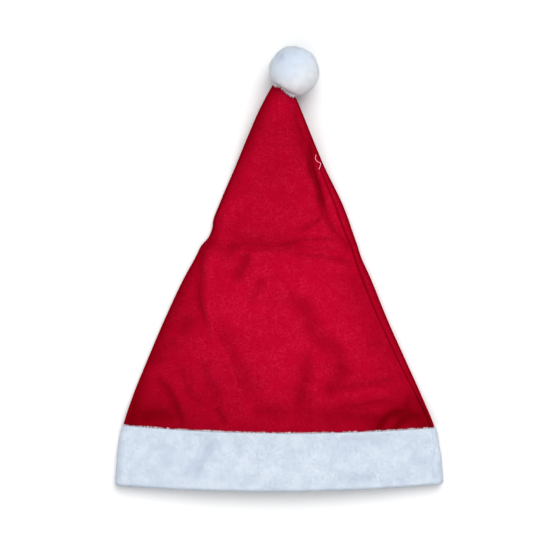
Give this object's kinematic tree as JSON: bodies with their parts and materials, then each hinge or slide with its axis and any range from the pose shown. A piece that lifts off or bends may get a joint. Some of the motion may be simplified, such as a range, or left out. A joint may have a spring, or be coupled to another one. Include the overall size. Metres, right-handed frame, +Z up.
{
  "type": "santa hat",
  "caption": "Soft cone-shaped felt hat lying flat, with a wide plush band round its brim and a plush ball sewn to its tip.",
  "frame": {"origin": "on the table, under the middle of the hat's bounding box as it lies flat on its back", "axes": "+X across the hat to its sewn side, +Y from the brim to the tip, +Z up from the table"},
  "size_m": [0.2846, 0.3908, 0.0443],
  "materials": {
    "red_felt": "matt non-woven felt with a fine light fleck",
    "band_plush": "short brushed pile, cool white",
    "pompom_plush": "short brushed pile over a stuffed ball, cool white"
  },
  "bodies": {
    "root": {"crown": "red_felt", "band": "band_plush", "pompom": "pompom_plush"}
  },
  "joints": []
}
